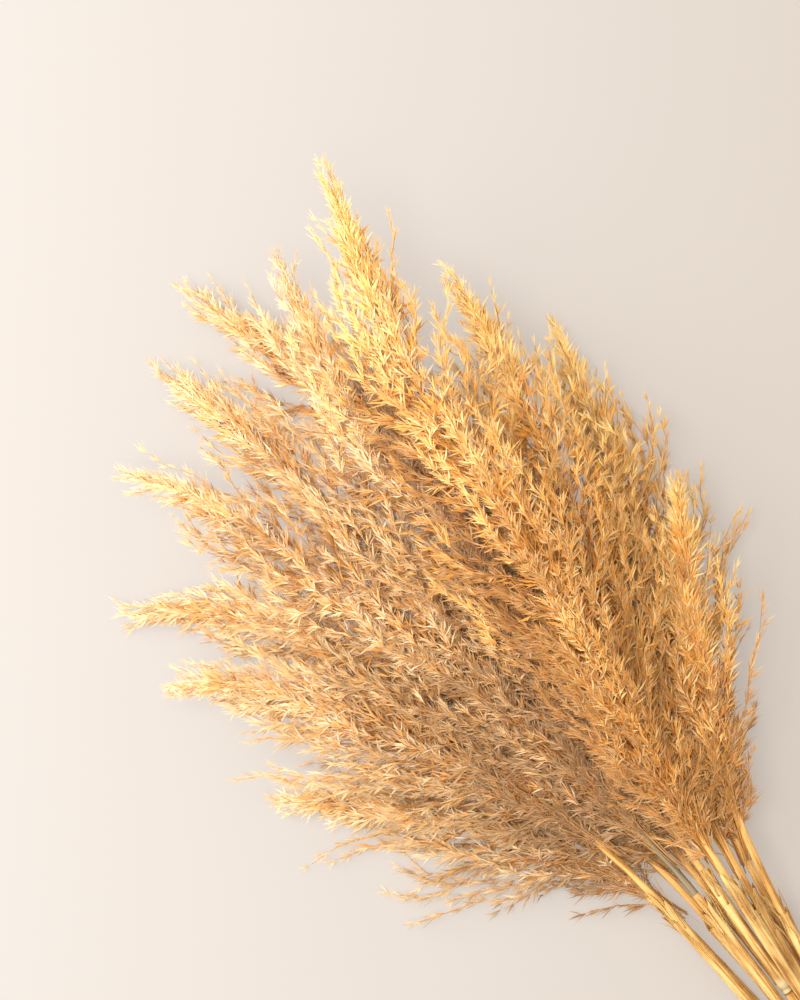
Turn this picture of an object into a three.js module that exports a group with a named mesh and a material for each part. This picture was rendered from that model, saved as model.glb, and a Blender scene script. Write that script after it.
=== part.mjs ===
// A tied bunch of dried pampas grass, lying on a flat surface.
//
// Eleven stalks run side by side through a binding of twine near their cut ends, then fan out. Each stalk
// is a round culm with raised joints, a papery leaf sheath wrapped around its upper part, and a soft
// feathery plume at its end. Every piece follows its own stalk's centre line.
//
// Millimetres. +X runs from the cut ends to the plume tips, +Y lies to the left of that, and +Z is up.
// Places are measured along X from the point where the fanned stalks' lines would meet, and above the
// surface that the bunch lies on. The finished group is moved so that its origin is the middle of the
// foot of its box.

import * as THREE from "three";

// Stalks
const STEM_TOP_RADIUS = 1.7; // where the culm enters its plume
const STEM_EVEN_LENGTH = 180; // from the cut end, before the culm thins towards its plume
const STEM_SIDES = 8;
const STATION = 20; // distance between the rings of a culm, along its line
const JOINT_RISE = 0.35; // how far a joint of the culm stands out
const JOINT_HALF_LENGTH = 2.5;
const SEAT_GAP = 0.3; // between pieces that touch

// Leaf sheaths
const SHEATH_WALL = 0.55;
const SHEATH_FOOT = 3.5; // from the middle of the joint that it grows from to its lower edge

// Plumes
const PLUME_FLATNESS = 0.8; // height of the section over its width
const PLUME_SIDES = 12;
const PLUME_RING_STEP = 24;
const PLUME_NECK_SHARE = 0.26; // width at the neck over the full width
const PLUME_SPREAD = 180; // length over which a plume grows to its full width
const SOCKET_PLAY = 0.25; // extra room in the socket, where the stalk bends
const SOCKET_DEPTH = 12; // how deep the culm stands in its plume

// Binding: turns of twine laid side by side
const TWINE_RADIUS = 1.1;
const TWINE_TURNS = 5;
const TURN_ARC = [-55, 0, 55]; // degrees around each turn's outer half
const BINDING_STEPS = 36; // around the stalks

// The stalks' places in the binding, in a hexagonal packing
const PITCH = 5.75;
const ROW = PITCH * Math.sqrt(3) / 2;
const BINDING_X = 60;
const BINDING_Y = -6;
const BINDING_HALF_RUN = 12; // the stalks run straight this far each side of the binding's middle
const THICKEST_STEM = 2.65;
const BOTTOM_ROW_Z = THICKEST_STEM + SEAT_GAP + 2 * TWINE_RADIUS;

// The cut ends, spread a little wider than the binding, with the lowest row on the surface
const CUT_FLARE = 1.35;
const CUT_Y = 4;
const CUT_ROW_Z = THICKEST_STEM;

// Colours and surface values
const CULM = { color: 0xd9a95c, roughness: 0.55, metalness: 0 };
const GREY_CULM = { color: 0x9a8763, roughness: 0.6, metalness: 0 };
const SHEATH = { color: 0xe0b972, roughness: 0.7, metalness: 0 };
const PLUME = { color: 0xc98f4a, roughness: 0.95, metalness: 0 };
const TWINE = { color: 0xb08d5c, roughness: 0.9, metalness: 0 };

// Each stalk, from the highest one down and to the sides:
//   seat    column and row in the binding's packing, from its middle
//   cut     X of the cut end
//   radius  of the culm at the cut end
//   joints  stations of the culm's joints; the sheath grows from the last one
//   mouth   station where the sheath ends
//   neck    where the plume begins
//   width   half the width of the plume at its widest
//   plume   points that the plume's middle line passes through, the last one its tip
const STALKS = [
  {
    seat: [-0.5, 1],
    cut: -92,
    radius: 2.6,
    joints: [2, 11],
    mouth: 16,
    neck: [250, -35, 45],
    width: 27,
    plume: [[430, -71, 95], [521, -80, 91], [568, -98, 86], [628, -120, 80]],
  },
  {
    seat: [0, 0],
    cut: -86,
    radius: 2.5,
    joints: [3, 12],
    mouth: 16,
    neck: [262, -27, 29],
    width: 26,
    plume: [[430, -43, 58], [517, -47, 57], [579, -63, 53], [612, -73, 48]],
  },
  {
    seat: [-1.5, -1],
    cut: -95,
    radius: 2.4,
    joints: [1, 11],
    mouth: 15,
    neck: [258, -35, 12],
    width: 26,
    plume: [[430, -70, 19], [542, -42, 19], [605, -30, 18], [637, -23, 17]],
  },
  {
    seat: [-0.5, -1],
    cut: -84,
    radius: 2.65,
    joints: [3, 12],
    mouth: 15,
    neck: [252, -20, 12],
    width: 24.5,
    plume: [[430, -16, 18.5], [539, 0, 15], [579, 8, 13], [616, 13, 12]],
  },
  {
    seat: [1, 0],
    cut: -98,
    radius: 2.5,
    joints: [2, 10],
    mouth: 16,
    neck: [268, -13, 29],
    width: 24.5,
    plume: [[430, 12, 57], [510, 31, 54], [550, 44, 49], [580, 66, 44]],
  },
  {
    seat: [0.5, -1],
    cut: -90,
    radius: 2.6,
    joints: [2, 11],
    mouth: 15,
    neck: [258, -6, 12],
    width: 24.5,
    plume: [[335, 19, 15], [430, 41, 17], [483, 64, 16.5], [525, 113, 14]],
  },
  {
    seat: [2, 0],
    cut: -82,
    radius: 2.45,
    joints: [1, 10],
    mouth: 16,
    neck: [285, 8, 29],
    width: 24,
    plume: [[350, 32, 44], [417, 62, 54], [456, 88, 50], [480, 120, 43]],
  },
  {
    seat: [1.5, -1],
    cut: -94,
    radius: 2.5,
    joints: [3, 12],
    mouth: 16,
    neck: [246, 8, 12],
    width: 24,
    plume: [[300, 32, 12.5], [340, 60, 12.5], [372, 87, 12.5], [400, 116, 11]],
  },
  {
    seat: [-1, 0],
    cut: -88,
    radius: 2.6,
    joints: [1, 11],
    mouth: 15,
    neck: [244, -43, 29],
    width: 26,
    plume: [[430, -102, 57], [493, -120, 54], [545, -131, 48]],
  },
  {
    seat: [-2, 0],
    cut: -96,
    radius: 2.4,
    joints: [3, 12],
    mouth: 15,
    neck: [240, -50, 12],
    width: 25,
    plume: [[345, -98, 15.5], [430, -133, 15.5], [492, -154, 14]],
  },
  {
    seat: [-1.5, 1],
    cut: -84,
    radius: 2.4,
    joints: [2, 10],
    mouth: 14,
    neck: [245, -57, 32],
    width: 18,
    plume: [[300, -88, 46], [345, -115, 54], [389, -146, 55]],
  },
];
const GREY_STALK = 4; // this one's culm dried grey-green

/** The place of a stalk in the binding, across and up. */
function seatInBinding([column, row]) {
  return new THREE.Vector2(BINDING_Y + column * PITCH, BOTTOM_ROW_Z + (row + 1) * ROW);
}

/** The centre line of a stalk, from its cut end to the tip of its plume. */
function stalkLine(stalk) {
  const [column, row] = stalk.seat;
  const seat = seatInBinding(stalk.seat);
  const cutY = CUT_Y + column * PITCH * CUT_FLARE;
  const cutZ = CUT_ROW_Z + (row + 1) * ROW * CUT_FLARE;
  const line = new THREE.CatmullRomCurve3([
    new THREE.Vector3(stalk.cut, cutY, cutZ),
    new THREE.Vector3(BINDING_X - BINDING_HALF_RUN, seat.x, seat.y),
    new THREE.Vector3(BINDING_X + BINDING_HALF_RUN, seat.x, seat.y),
    new THREE.Vector3(...stalk.neck),
    ...stalk.plume.map((point) => new THREE.Vector3(...point)),
  ]);
  line.arcLengthDivisions = 800;
  return line;
}

/** The distance along a line at which it reaches the given X. */
function lengthAtX(line, x) {
  let low = 0;
  let high = line.getLength();
  while (high - low > 0.01) {
    const middle = (low + high) / 2;
    if (line.getPointAt(middle / line.getLength()).x < x) low = middle;
    else high = middle;
  }
  return low;
}

/** Bends a shape turned around the Y axis onto a line, from a distance along it. */
function bendOnto(geometry, line, start, section = (across, up) => [across, up]) {
  const position = geometry.getAttribute("position");
  const upright = new THREE.Vector3(0, 0, 1);
  const vertex = new THREE.Vector3();
  for (let i = 0; i < position.count; i += 1) {
    vertex.fromBufferAttribute(position, i);
    const share = Math.min((start + vertex.y) / line.getLength(), 1);
    const tangent = line.getTangentAt(share);
    const side = new THREE.Vector3().crossVectors(upright, tangent).normalize();
    const up = new THREE.Vector3().crossVectors(tangent, side);
    const [across, height] = section(vertex.x, -vertex.z);
    const place = line.getPointAt(share).addScaledVector(side, across).addScaledVector(up, height);
    position.setXYZ(i, place.x, place.y, place.z);
  }
  geometry.computeVertexNormals();
  return geometry;
}

/** A named piece with its own material. */
function piece(name, geometry, finish) {
  const mesh = new THREE.Mesh(geometry, new THREE.MeshStandardMaterial(finish));
  mesh.name = name;
  return mesh;
}

/** A culm's radius at a distance from its cut end. */
function culmRadius(stalk, along, length) {
  const thinned = Math.max(along - STEM_EVEN_LENGTH, 0) / (length - STEM_EVEN_LENGTH);
  return stalk.radius + (STEM_TOP_RADIUS - stalk.radius) * thinned;
}

/** A culm from its cut end into the socket of its plume, thicker at its joints. */
function culm(stalk, line, length) {
  const profile = [new THREE.Vector2(0, 0)];
  for (let station = 0; station * STATION < length - JOINT_HALF_LENGTH; station += 1) {
    const along = station * STATION;
    const radius = culmRadius(stalk, along, length);
    if (stalk.joints.includes(station)) {
      profile.push(new THREE.Vector2(radius, along - JOINT_HALF_LENGTH));
      profile.push(new THREE.Vector2(radius + JOINT_RISE, along));
      profile.push(new THREE.Vector2(radius, along + JOINT_HALF_LENGTH));
    } else {
      profile.push(new THREE.Vector2(radius, along));
    }
  }
  profile.push(new THREE.Vector2(STEM_TOP_RADIUS, length));
  profile.push(new THREE.Vector2(0, length));
  return bendOnto(new THREE.LatheGeometry(profile, STEM_SIDES), line, 0);
}

/** A leaf sheath: a thin sleeve around the culm, from just above a joint up to its open mouth. */
function leafSheath(stalk, line, length) {
  const foot = stalk.joints.at(-1);
  const stations = [foot * STATION + SHEATH_FOOT];
  for (let station = foot + 1; station <= stalk.mouth; station += 1) stations.push(station * STATION);
  const outside = stations.map(
    (along) => new THREE.Vector2(culmRadius(stalk, along, length) + SEAT_GAP + SHEATH_WALL, along),
  );
  const inside = stations.map(
    (along) => new THREE.Vector2(culmRadius(stalk, along, length) + SEAT_GAP, along),
  );
  const profile = [...outside, ...inside.reverse(), outside[0]];
  return bendOnto(new THREE.LatheGeometry(profile, STEM_SIDES), line, 0);
}

/** A plume's half width at a distance from its neck. */
function plumeRadius(halfWidth, along, length) {
  const spread = PLUME_NECK_SHARE + (1 - PLUME_NECK_SHARE) * (along / PLUME_SPREAD);
  const taper = 1 - (along / length) ** 4;
  return halfWidth * Math.min(1, spread) * taper;
}

/** A plume: a soft flattened spindle with a socket for its culm, resting on the surface if it is that low. */
function plume(halfWidth, line, neck) {
  const length = line.getLength() - neck;
  const socket = (STEM_TOP_RADIUS + SEAT_GAP) / Math.cos(Math.PI / PLUME_SIDES) + SOCKET_PLAY;
  const rings = Math.round(length / PLUME_RING_STEP);
  const profile = [
    new THREE.Vector2(0, SOCKET_DEPTH),
    new THREE.Vector2(socket, SOCKET_DEPTH),
    new THREE.Vector2(socket, 0),
  ];
  for (let ring = 0; ring < rings; ring += 1) {
    const along = length * (ring / rings);
    profile.push(new THREE.Vector2(plumeRadius(halfWidth, along, length), along));
  }
  profile.push(new THREE.Vector2(0, length));
  const flatten = (across, up) => {
    const outside = Math.hypot(across, up) > socket + SEAT_GAP;
    return [across, outside ? up * PLUME_FLATNESS : up];
  };
  const geometry = bendOnto(new THREE.LatheGeometry(profile, PLUME_SIDES), line, neck, flatten);
  const position = geometry.getAttribute("position");
  for (let i = 0; i < position.count; i += 1) position.setZ(i, Math.max(position.getZ(i), 0));
  return geometry;
}

/** The outline of a taut loop around all the stalks in the binding, at the direction it faces. */
function tautLoop(facing) {
  const reach = (stalk) => seatInBinding(stalk.seat).dot(facing) + stalk.radius;
  const touched = STALKS.reduce((best, stalk) => (reach(stalk) > reach(best) ? stalk : best));
  return seatInBinding(touched.seat).addScaledVector(facing, touched.radius + SEAT_GAP);
}

/** The binding: a band whose outside shows each turn of the twine. */
function binding() {
  const bore = 10; // any radius, taken off again as the band is laid around the stalks
  const halfWidth = TWINE_TURNS * TWINE_RADIUS;
  const profile = [new THREE.Vector2(bore, -halfWidth)];
  for (let turn = 0; turn < TWINE_TURNS; turn += 1) {
    const middle = (2 * turn + 1 - TWINE_TURNS) * TWINE_RADIUS;
    for (const degrees of TURN_ARC) {
      const angle = THREE.MathUtils.degToRad(degrees);
      const thickness = TWINE_RADIUS * (1 + Math.cos(angle));
      profile.push(new THREE.Vector2(bore + thickness, middle + TWINE_RADIUS * Math.sin(angle)));
    }
  }
  profile.push(new THREE.Vector2(bore, halfWidth), new THREE.Vector2(bore, -halfWidth));
  const geometry = new THREE.LatheGeometry(profile, BINDING_STEPS);
  const position = geometry.getAttribute("position");
  for (let i = 0; i < position.count; i += 1) {
    const out = Math.hypot(position.getX(i), position.getZ(i)) - bore;
    const facing = new THREE.Vector2(position.getX(i), -position.getZ(i)).normalize();
    const place = tautLoop(facing).addScaledVector(facing, out);
    position.setXYZ(i, BINDING_X + position.getY(i), place.x, place.y);
  }
  geometry.computeVertexNormals();
  return geometry;
}

/** All the pieces of one stalk. */
function stalkPieces(stalk, index) {
  const line = stalkLine(stalk);
  const neck = lengthAtX(line, stalk.neck[0]);
  const stemLength = neck + SOCKET_DEPTH - SEAT_GAP;
  const label = String(index + 1).padStart(2, "0");
  return [
    piece(`stem_${label}`, culm(stalk, line, stemLength), index === GREY_STALK ? GREY_CULM : CULM),
    piece(`leaf_sheath_${label}`, leafSheath(stalk, line, stemLength), SHEATH),
    piece(`plume_${label}`, plume(stalk.width, line, neck), PLUME),
  ];
}

/** The whole bunch, with its origin at the middle of the foot of its box. */
function bunch() {
  const pieces = new THREE.Group();
  STALKS.forEach((stalk, index) => pieces.add(...stalkPieces(stalk, index)));
  pieces.add(piece("binding_twine", binding(), TWINE));
  const box = new THREE.Box3().setFromObject(pieces);
  const middle = box.getCenter(new THREE.Vector3());
  pieces.position.set(-middle.x, -middle.y, -box.min.z);
  return new THREE.Group().add(pieces);
}

export default bunch();
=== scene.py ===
"""Dresses a tied bunch of dried pampas grass that lies on a pale floor.

Every stalk gets a striped culm with joints, a papery slit leaf sheath and a plume of side branches,
spikelets and silky hairs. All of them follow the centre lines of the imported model's pieces. Lengths are in
metres, and distances along a piece are measured along its centre line.
"""

import logging
import math
from dataclasses import dataclass, field, fields, replace
from enum import Enum
from typing import ClassVar

import bmesh
import bpy
import numpy as np
from mathutils import Matrix, Vector


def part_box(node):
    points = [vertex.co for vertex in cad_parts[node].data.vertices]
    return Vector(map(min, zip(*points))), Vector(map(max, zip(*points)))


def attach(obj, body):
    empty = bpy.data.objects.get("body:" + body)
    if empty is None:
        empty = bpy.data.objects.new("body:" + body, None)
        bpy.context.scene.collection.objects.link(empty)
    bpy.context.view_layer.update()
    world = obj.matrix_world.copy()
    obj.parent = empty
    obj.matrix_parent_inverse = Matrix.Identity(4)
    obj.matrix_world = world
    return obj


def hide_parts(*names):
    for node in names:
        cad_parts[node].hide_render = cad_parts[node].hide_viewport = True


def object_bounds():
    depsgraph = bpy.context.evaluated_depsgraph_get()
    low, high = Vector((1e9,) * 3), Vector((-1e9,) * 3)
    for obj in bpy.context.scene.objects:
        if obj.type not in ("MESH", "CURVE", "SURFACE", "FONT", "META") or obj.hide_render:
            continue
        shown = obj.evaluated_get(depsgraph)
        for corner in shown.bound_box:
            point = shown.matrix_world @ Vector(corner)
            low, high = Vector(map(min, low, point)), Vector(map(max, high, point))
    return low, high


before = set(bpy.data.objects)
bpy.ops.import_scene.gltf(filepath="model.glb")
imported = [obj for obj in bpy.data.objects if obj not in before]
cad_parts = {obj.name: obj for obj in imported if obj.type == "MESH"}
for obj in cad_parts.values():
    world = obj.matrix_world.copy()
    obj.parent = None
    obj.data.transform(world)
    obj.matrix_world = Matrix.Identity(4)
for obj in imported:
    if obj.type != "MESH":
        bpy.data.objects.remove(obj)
CAD_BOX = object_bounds()

LOG = logging.getLogger("pampas_grass")
BODY = "root"
UP = np.array([0.0, 0.0, 1.0])
BLADE_MAP = "OFBake"
STRAW_MAP = "straw"
JOINT_LAYER = "joint"
STALKS = sum(name.startswith("stem_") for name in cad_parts)
GOLDEN_ANGLE = math.pi * (3 - math.sqrt(5))
ALONG_BUNCH = np.array([1.0, 0.0, 0.0])
FLOOR_CLEARANCE = 0.0003
TINY = 1e-15  # keeps a division by zero out
RELIEF_DEPTH = 0.0004  # of the straw's and the twine's fibres
TINT_SPREAD = 0.012  # a blade's width in its plume's map
LEAST_TINT = 0.03  # how near a tint comes to the edge of its strip of the map
BLADE_SOFTNESS = 0.7  # how far a blade is shaded as part of its plume's surface
LEAST_FACING = 0.12  # how far a soft normal keeps to its own face's side

Colour = tuple[float, float, float]
Stops = list[tuple[float, Colour]]
Range = tuple[float, float]
BLACK, GREY, WHITE = (0.0, 0.0, 0.0), (0.4, 0.4, 0.4), (1.0, 1.0, 1.0)


# ---- Materials ----


class Value:
    """A number that varies over a surface, so that shader maths can be written as an expression."""

    def __init__(self, shading: "Shading", socket: bpy.types.NodeSocket) -> None:
        """Wraps a socket of a material's node tree."""
        self.shading = shading
        self.socket = socket

    def _with(self, operation: str, first: object, second: object) -> "Value":
        """Adds one Math node and returns its result."""
        node = self.shading.add("ShaderNodeMath", {"operation": operation}, {0: first, 1: second})
        return Value(self.shading, node.outputs[0])

    def __add__(self, other: object) -> "Value":
        """This value plus another."""
        return self._with("ADD", self, other)

    __radd__ = __add__

    def __sub__(self, other: object) -> "Value":
        """This value minus another."""
        return self._with("SUBTRACT", self, other)

    def __rsub__(self, other: object) -> "Value":
        """Another value minus this one."""
        return self._with("SUBTRACT", other, self)

    def __mul__(self, other: object) -> "Value":
        """This value times another."""
        return self._with("MULTIPLY", self, other)

    __rmul__ = __mul__

    def __gt__(self, other: object) -> "Value":
        """1 where this value is above another, and 0 elsewhere."""
        return self._with("GREATER_THAN", self, other)

    def __lt__(self, other: object) -> "Value":
        """1 where this value is under another, and 0 elsewhere."""
        return self._with("LESS_THAN", self, other)

    def fraction(self) -> "Value":
        """What is left of this value over the whole number below it."""
        return self._with("FRACT", self, 0.0)

    def sine(self) -> "Value":
        """The sine of this value in radians."""
        return self._with("SINE", self, 0.0)

    def cosine(self) -> "Value":
        """The cosine of this value in radians."""
        return self._with("COSINE", self, 0.0)


class Shading:
    """A material with its node tree, and short ways to fill it."""

    def __init__(self, name: str) -> None:
        """Makes an empty material.

        Args:
            name: its name.
        """
        self.material = bpy.data.materials.new(name)
        self.material.use_nodes = True
        self.tree = self.material.node_tree
        self.tree.nodes.clear()

    def add(self, kind: str, settings: dict[str, object], inputs: dict[object, object]) -> bpy.types.Node:
        """Adds a node.

        Args:
            kind: the node's type.
            settings: its properties, set first. "stops" gives a colour ramp's positions and colours.
            inputs: a value, socket or Value for each named or numbered input.

        Returns:
            The new node.
        """
        node = self.tree.nodes.new(kind)
        for key, value in settings.items():
            if key == "stops":
                self._set_stops(node.color_ramp, value)
            else:
                setattr(node, key, value)
        for key, value in inputs.items():
            socket = node.inputs[key]
            if isinstance(value, Value):
                value = value.socket
            if isinstance(value, bpy.types.NodeSocket):
                self.tree.links.new(value, socket)
            elif isinstance(value, tuple) and len(socket.default_value) == 4:
                socket.default_value = (*value, 1.0)
            else:
                socket.default_value = value
        return node

    @staticmethod
    def _set_stops(ramp: bpy.types.ColorRamp, stops: Stops) -> None:
        """Gives a colour ramp its stops.

        Args:
            ramp: the ramp, with the stops that a new one has.
            stops: positions and colours.
        """
        while len(ramp.elements) < len(stops):
            ramp.elements.new(1.0)
        for element, (position, colour) in zip(ramp.elements, stops):
            element.position = position
            element.color = (*colour, 1.0)

    def ramp(self, value: Value, stops: Stops) -> bpy.types.NodeSocket:
        """A colour that follows a value through the given stops."""
        return self.add("ShaderNodeValToRGB", {"stops": stops}, {"Fac": value}).outputs["Color"]

    def mix(self, share: object, first: object, second: object, blend: str = "MIX") -> bpy.types.NodeSocket:
        """Two colours mixed by a share of the second."""
        settings = {"data_type": "RGBA", "blend_type": blend}
        return self.add("ShaderNodeMix", settings, {0: share, 6: first, 7: second}).outputs[2]

    def attribute(self, name: str) -> Value:
        """A number that the piece's corners hold under a name."""
        return Value(self, self.add("ShaderNodeAttribute", {"attribute_name": name}, {}).outputs["Fac"])

    def map_values(self, name: str) -> tuple[Value, Value]:
        """The two coordinates of one of the piece's own maps.

        Args:
            name: the map's name.

        Returns:
            Its first and its second coordinate.
        """
        uv = self.add("ShaderNodeUVMap", {"uv_map": name}, {}).outputs["UV"]
        parts = self.add("ShaderNodeSeparateXYZ", {}, {0: uv})
        return Value(self, parts.outputs["X"]), Value(self, parts.outputs["Y"])

    def fibres(self, around_rate: float, along_rate: float, detail: float, roughness: float = 0.5) -> Value:
        """Noise drawn out along a tube, without a seam where the tube's map wraps.

        Args:
            around_rate: how fast it changes around the tube.
            along_rate: how fast it changes along the tube, per metre.
            detail: how many finer layers it has.
            roughness: how strong the finer layers are.

        Returns:
            The noise, from 0 to 1.
        """
        around, along = self.map_values(STRAW_MAP)
        turn = around * math.tau
        inputs = {"X": turn.cosine() * around_rate, "Y": turn.sine() * around_rate, "Z": along * along_rate}
        place = self.add("ShaderNodeCombineXYZ", {}, inputs).outputs[0]
        inputs = {"Vector": place, "Scale": 1.0, "Detail": detail, "Roughness": roughness}
        return Value(self, self.add("ShaderNodeTexNoise", {}, inputs).outputs["Fac"])

    def relief(self, strength: float, height: Value) -> bpy.types.NodeSocket:
        """The normal of a fine relief that follows a value."""
        inputs = {"Strength": strength, "Distance": RELIEF_DEPTH, "Height": height}
        return self.add("ShaderNodeBump", {}, inputs).outputs[0]

    def finish(self, inputs: dict[str, object]) -> bpy.types.Material:
        """Gives the material its surface, a Principled node.

        Args:
            inputs: a value, socket or Value for each of the node's named inputs.

        Returns:
            The material.
        """
        solid = self.add("ShaderNodeBsdfPrincipled", {}, inputs)
        self.add("ShaderNodeOutputMaterial", {}, {"Surface": solid.outputs[0]})
        return self.material


class Kind(Enum):
    """What a blade of a plume is: each kind has its own strip in the plume's map."""

    GLUME = 0
    HAIR = 1
    TWIG = 2


@dataclass(frozen=True)
class PlumeFinish:
    """Dried glumes, silky hairs and twigs, each tinted from dark to pale."""

    name: str
    glume: tuple[Colour, Colour, Colour]
    hair: tuple[Colour, Colour]
    twig: tuple[Colour, Colour]
    foot_shade: Colour = (0.88, 0.72, 0.55)
    roughness: float = 0.45
    specular: float = 0.35

    def material(self) -> bpy.types.Material:
        """The material, whose map runs along each blade and across the three strips of tints."""
        shading = Shading(self.name)
        along, strip = shading.map_values(BLADE_MAP)
        tint = (strip * len(Kind)).fraction()
        dark, middle, pale = self.glume
        glume = shading.ramp(tint, [(0.0, dark), (0.5, middle), (1.0, pale)])
        foot = shading.mix(1.0, glume, self.foot_shade, "MULTIPLY")
        glume = shading.mix(shading.ramp(along, [(0.0, BLACK), (0.5, WHITE)]), foot, glume)
        colour = shading.mix(shading.ramp(along, [(0.5, BLACK), (1.0, GREY)]), glume, pale)
        for kind, tones in ((Kind.HAIR, self.hair), (Kind.TWIG, self.twig)):
            own = shading.ramp(tint, [(0.0, tones[0]), (1.0, tones[1])])
            colour = shading.mix(strip > kind.value / len(Kind), colour, own)
        inputs = {"Base Color": colour, "Roughness": self.roughness, "Specular IOR Level": self.specular}
        return shading.finish(inputs)


@dataclass(frozen=True)
class StrawFinish:
    """Dry straw with fine stripes along it, darker and paler patches, and rings at its joints."""

    name: str
    dark: Colour
    middle: Colour
    pale: Colour
    ring: Colour = (0.16, 0.07, 0.02)
    collar: Colour = (0.58, 0.44, 0.22)
    stripes: Range = (10.0, 12.0)  # how fast they change around the piece and, per metre, along it
    patches: Range = (0.7, 35.0)
    flecks: Range = (9.0, 260.0)
    stripe_share: float = 0.8
    patch_share: float = 0.55
    tone_shift: float = 0.17
    fleck_level: float = 0.69
    fleck_depth: float = 0.3
    roughness: float = 0.5
    specular: float = 0.3
    bump: float = 0.35
    top: tuple[Colour, Colour] | None = None
    top_from: float = 0.0

    def material(self) -> bpy.types.Material:
        """The material, whose map runs around the piece and, in metres, along it."""
        shading = Shading(self.name)
        stripe = shading.fibres(*self.stripes, 5.0, 0.7)
        patch = shading.fibres(*self.patches, 3.0)
        fleck = shading.fibres(*self.flecks, 2.0) > self.fleck_level
        tone = stripe * self.stripe_share + patch * self.patch_share - self.tone_shift
        colour = shading.ramp(tone, [(0.42, self.dark), (0.49, self.middle), (0.58, self.pale)])
        colour = shading.mix(fleck * self.fleck_depth, colour, self.dark)
        if self.top:
            top = shading.ramp(tone, [(0.41, self.top[0]), (0.58, self.top[1])])
            along = shading.map_values(STRAW_MAP)[1]
            colour = shading.mix(along > self.top_from, colour, top)
        joint = shading.attribute(JOINT_LAYER)
        collar = [(0.5, BLACK), (0.53, WHITE), (0.62, WHITE), (0.75, BLACK)]
        ring = [(0.42, BLACK), (0.47, GREY), (0.495, WHITE), (0.515, WHITE), (0.53, BLACK)]
        for stops, own in ((collar, self.collar), (ring, self.ring)):
            colour = shading.mix(shading.ramp(joint, stops), colour, own)
        inputs = {
            "Base Color": colour,
            "Roughness": self.roughness,
            "Specular IOR Level": self.specular,
            "Normal": shading.relief(self.bump, stripe),
        }
        return shading.finish(inputs)


@dataclass(frozen=True)
class TwineFinish:
    """Jute fibres that run along a strand, pale where they stand out."""

    dark: Colour = (0.12, 0.06, 0.02)
    middle: Colour = (0.27, 0.16, 0.065)
    pale: Colour = (0.42, 0.29, 0.15)
    fibres: Range = (3.0, 220.0)
    roughness: float = 0.85
    bump: float = 0.7

    def material(self) -> bpy.types.Material:
        """The material, whose map runs around a strand and, in metres, along it."""
        shading = Shading("jute_twine")
        fibre = shading.fibres(*self.fibres, 5.0, 0.7)
        colour = shading.ramp(fibre, [(0.35, self.dark), (0.5, self.middle), (0.66, self.pale)])
        relief = shading.relief(self.bump, fibre)
        return shading.finish({"Base Color": colour, "Roughness": self.roughness, "Normal": relief})


@dataclass(frozen=True)
class FloorFinish:
    """A plain pale studio surface with a painted glow, weaker to the right, that stands in for lamp light
    and pales the shadows on it.
    """

    colour: Colour = (0.212, 0.196, 0.181)
    # painted light: the floor's own glow, brighter near the bunch's left than on its right
    glow_near: Colour = (0.49, 0.455, 0.425)
    glow_far: Colour = (0.355, 0.305, 0.262)
    reach: float = 0.25
    roughness: float = 0.9
    specular: float = 0.1

    def material(self, middle: Vector, right: Vector) -> bpy.types.Material:
        """The material.

        Args:
            middle: where its glow is halfway.
            right: the direction in which its glow falls.

        Returns:
            The material.
        """
        shading = Shading("studio_floor")
        place = shading.add("ShaderNodeTexCoord", {}, {}).outputs["Object"]
        inputs = {0: place, 1: tuple(middle)}
        offset = shading.add("ShaderNodeVectorMath", {"operation": "SUBTRACT"}, inputs).outputs[0]
        inputs = {0: offset, 1: tuple(right)}
        along = shading.add("ShaderNodeVectorMath", {"operation": "DOT_PRODUCT"}, inputs).outputs["Value"]
        share = Value(shading, along) * (0.5 / self.reach) + 0.5
        # painted light: the floor glows, less towards the right
        inputs = {
            "Base Color": self.colour,
            "Roughness": self.roughness,
            "Specular IOR Level": self.specular,
            "Emission Color": shading.ramp(share, [(0.0, self.glow_near), (1.0, self.glow_far)]),
            "Emission Strength": 1.0,
        }
        return shading.finish(inputs)


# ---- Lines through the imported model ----


def unit(vector: np.ndarray) -> np.ndarray:
    """Vectors of length one, along the last axis."""
    return vector / np.maximum(np.linalg.norm(vector, axis=-1, keepdims=True), TINY)


def halfway(values: np.ndarray) -> float:
    """The middle between the least and the greatest value."""
    return (values.max() + values.min()) / 2


class PackedPiece:
    """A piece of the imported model, cut by planes to find its middle and its size."""

    least_crossings: ClassVar[int] = 6

    def __init__(self, node: str) -> None:
        """Reads the triangles of a node.

        Args:
            node: the node's name.
        """
        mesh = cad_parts[node].data
        mesh.calc_loop_triangles()
        places = np.empty(len(mesh.vertices) * 3)
        mesh.vertices.foreach_get("co", places)
        corners = np.empty(len(mesh.loop_triangles) * 3, np.int32)
        mesh.loop_triangles.foreach_get("vertices", corners)
        triangles = places.reshape(-1, 3)[corners.reshape(-1, 3)]
        self.starts = triangles.reshape(-1, 3)
        self.ends = np.roll(triangles, -1, axis=1).reshape(-1, 3)

    def section(self, origin: np.ndarray, normal: np.ndarray) -> tuple[np.ndarray, float, float] | None:
        """Cuts the piece with a plane.

        Args:
            origin: a point on the plane.
            normal: the plane's direction.

        Returns:
            The section's middle and its half width and half height, or None past the piece's end.
        """
        before = (self.starts - origin) @ normal
        after = (self.ends - origin) @ normal
        crossed = (before < 0) != (after < 0)
        if crossed.sum() < self.least_crossings:
            return None
        share = (before / (before - after + TINY))[crossed, None]
        points = self.starts[crossed] + (self.ends[crossed] - self.starts[crossed]) * share
        side = unit(np.cross(UP, normal))
        up = np.cross(normal, side)
        across, height = (points - origin) @ side, (points - origin) @ up
        middle = origin + side * halfway(across) + up * halfway(height)
        return middle, float(np.ptp(across)) / 2, float(np.ptp(height)) / 2


def distances_along(points: np.ndarray) -> np.ndarray:
    """How far each point lies along the line through them all."""
    steps = np.linalg.norm(np.diff(points, axis=0), axis=1)
    return np.concatenate([[0.0], np.cumsum(steps)])


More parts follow.
